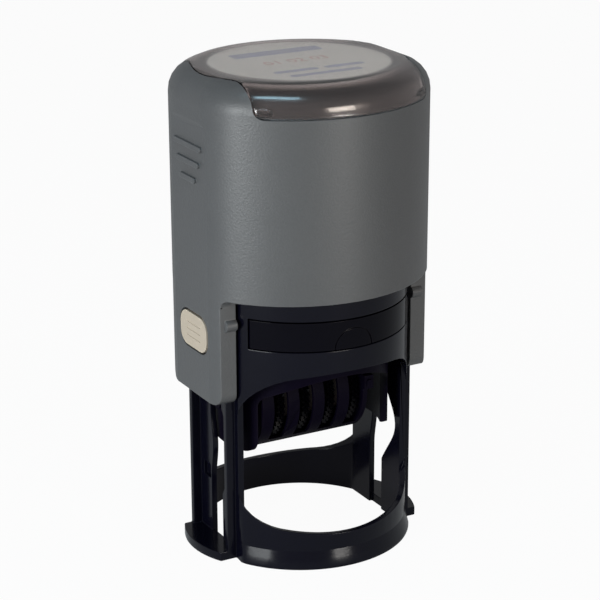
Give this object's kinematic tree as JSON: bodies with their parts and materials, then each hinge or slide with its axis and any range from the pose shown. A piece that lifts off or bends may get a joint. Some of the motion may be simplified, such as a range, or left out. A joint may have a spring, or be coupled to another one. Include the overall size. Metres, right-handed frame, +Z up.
{
  "type": "self-inking date stamp",
  "caption": "Round self-inking date stamp: a push cap slides on a base frame and turns a die carrier with date wheels over, from the ink pad to the desk.",
  "frame": {"origin": "middle of the base ring, on the desk", "axes": "+Z up along the stroke, -Y towards the front where the ink pad cassette slides out, +X to the right"},
  "size_m": [0.0584, 0.0562, 0.1153],
  "materials": {
    "frame_black": "satin",
    "cassette_black": "gloss",
    "pad_felt": "inked felt",
    "cap_grey": "fine grain",
    "cover_smoke": "smoke clear plastic, gloss",
    "card_paper": "paper",
    "button_cream": "satin",
    "spring_steel": "drawn wire",
    "pin_steel": "ground",
    "carrier_brown": "satin",
    "die_rubber": "matte",
    "wheel_brown": "satin",
    "band_rubber": "matte"
  },
  "bodies": {
    "frame": {"base_frame": "frame_black", "return_spring": "spring_steel"},
    "cap": {"cap_shell": "cap_grey", "index_card": "card_paper", "pivot_pin_left": "pin_steel", "pivot_pin_right": "pin_steel"},
    "cover": {"top_cover": "cover_smoke"},
    "button_left": {"lock_button_left": "button_cream"},
    "button_right": {"lock_button_right": "button_cream"},
    "cassette": {"pad_cassette": "cassette_black", "ink_pad": "pad_felt"},
    "carrier": {"die_carrier": "carrier_brown", "rubber_die": "die_rubber", "dater_housing": "carrier_brown", "wheel_shaft": "pin_steel", "band_bridge": "carrier_brown", "date_band_1": "band_rubber", "date_band_2": "band_rubber", "date_band_3": "band_rubber", "date_band_4": "band_rubber"},
    "wheel_1": {"date_wheel_1": "wheel_brown"},
    "wheel_2": {"date_wheel_2": "wheel_brown"},
    "wheel_3": {"date_wheel_3": "wheel_brown"},
    "wheel_4": {"date_wheel_4": "wheel_brown"}
  },
  "joints": [
    {"name": "press", "type": "slide", "parent": "frame", "child": "cap", "axis": [0, 0, -1], "range_m": [0, 0.036], "stiffness_N_per_m": 300, "springref_m": -0.02, "deforming": ["return_spring"]},
    {"name": "carrier_flip", "type": "hinge", "parent": "cap", "child": "carrier", "pos_m": [0, 0, 0.0427], "axis": [-1, 0, 0], "range_deg": [0, 180]},
    {"name": "button_left_press", "type": "slide", "parent": "cap", "child": "button_left", "axis": [1, 0, 0], "range_m": [0, 0.0015], "stiffness_N_per_m": 400, "springref_m": -0.0005},
    {"name": "button_right_press", "type": "slide", "parent": "cap", "child": "button_right", "axis": [-1, 0, 0], "range_m": [0, 0.0015], "stiffness_N_per_m": 400, "springref_m": -0.0005},
    {"name": "cassette_slide", "type": "slide", "parent": "frame", "child": "cassette", "axis": [0, 1, 0], "range_m": [-0.048, 0]},
    {"name": "cover_lift", "type": "slide", "parent": "cap", "child": "cover", "axis": [0, 0, 1], "range_m": [0, 0.012]},
    {"name": "wheel_1_spin", "type": "hinge", "parent": "carrier", "child": "wheel_1", "pos_m": [-0.0107, 0, 0.0362], "axis": [1, 0, 0], "continuous": true},
    {"name": "wheel_2_spin", "type": "hinge", "parent": "carrier", "child": "wheel_2", "pos_m": [-0.00402, 0, 0.0362], "axis": [1, 0, 0], "continuous": true},
    {"name": "wheel_3_spin", "type": "hinge", "parent": "carrier", "child": "wheel_3", "pos_m": [0.00266, 0, 0.0362], "axis": [1, 0, 0], "continuous": true},
    {"name": "wheel_4_spin", "type": "hinge", "parent": "carrier", "child": "wheel_4", "pos_m": [0.00934, 0, 0.0362], "axis": [1, 0, 0], "continuous": true}
  ],
  "couplings": [
    {"joint": "carrier_flip", "follows": "press", "rad_per_m": 87.266}
  ]
}
